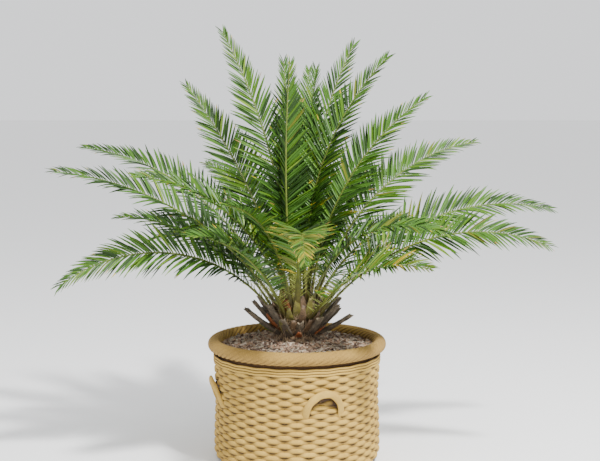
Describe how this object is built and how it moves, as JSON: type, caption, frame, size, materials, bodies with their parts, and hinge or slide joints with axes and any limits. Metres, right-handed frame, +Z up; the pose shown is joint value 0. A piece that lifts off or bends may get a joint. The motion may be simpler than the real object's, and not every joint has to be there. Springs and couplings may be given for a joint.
{
  "type": "potted date palm",
  "caption": "Young date palm with arching feather fronds and cut stubs round a short bulbous trunk, in a round basket-weave planter with a rope rim and ear handles.",
  "frame": {"origin": "centre of the planter's flat underside", "axes": "+Z up, -Y the front that the picture shows, +X to the right across the widest spread of the crown"},
  "size_m": [2.0299, 1.8007, 1.7196],
  "materials": {
    "planter": "matte",
    "mulch": "matte",
    "trunk": "matte",
    "stub": "matte",
    "frond": "satin"
  },
  "bodies": {
    "root": {"pot": "planter", "handle_1": "planter", "handle_2": "planter", "handle_3": "planter", "handle_4": "planter", "soil": "mulch", "trunk": "trunk", "stub_01": "stub", "stub_02": "stub", "stub_03": "stub", "stub_04": "stub", "stub_05": "stub", "stub_06": "stub", "stub_07": "stub", "stub_08": "stub", "stub_09": "stub", "stub_10": "stub", "stub_11": "stub", "stub_12": "stub", "stub_13": "stub", "stub_14": "stub", "stub_15": "stub", "stub_16": "stub", "stub_17": "stub", "stub_18": "stub", "frond_01": "frond", "frond_02": "frond", "frond_03": "frond", "frond_04": "frond", "frond_05": "frond", "frond_06": "frond", "frond_07": "frond", "frond_08": "frond", "frond_09": "frond", "frond_10": "frond", "frond_11": "frond", "frond_12": "frond", "frond_13": "frond", "frond_14": "frond", "frond_15": "frond", "frond_16": "frond", "frond_17": "frond", "frond_18": "frond", "frond_19": "frond", "frond_20": "frond", "frond_21": "frond", "frond_22": "frond", "frond_23": "frond", "frond_24": "frond", "frond_25": "frond", "frond_26": "frond", "frond_27": "frond", "frond_28": "frond", "frond_29": "frond", "frond_30": "frond"}
  },
  "joints": []
}
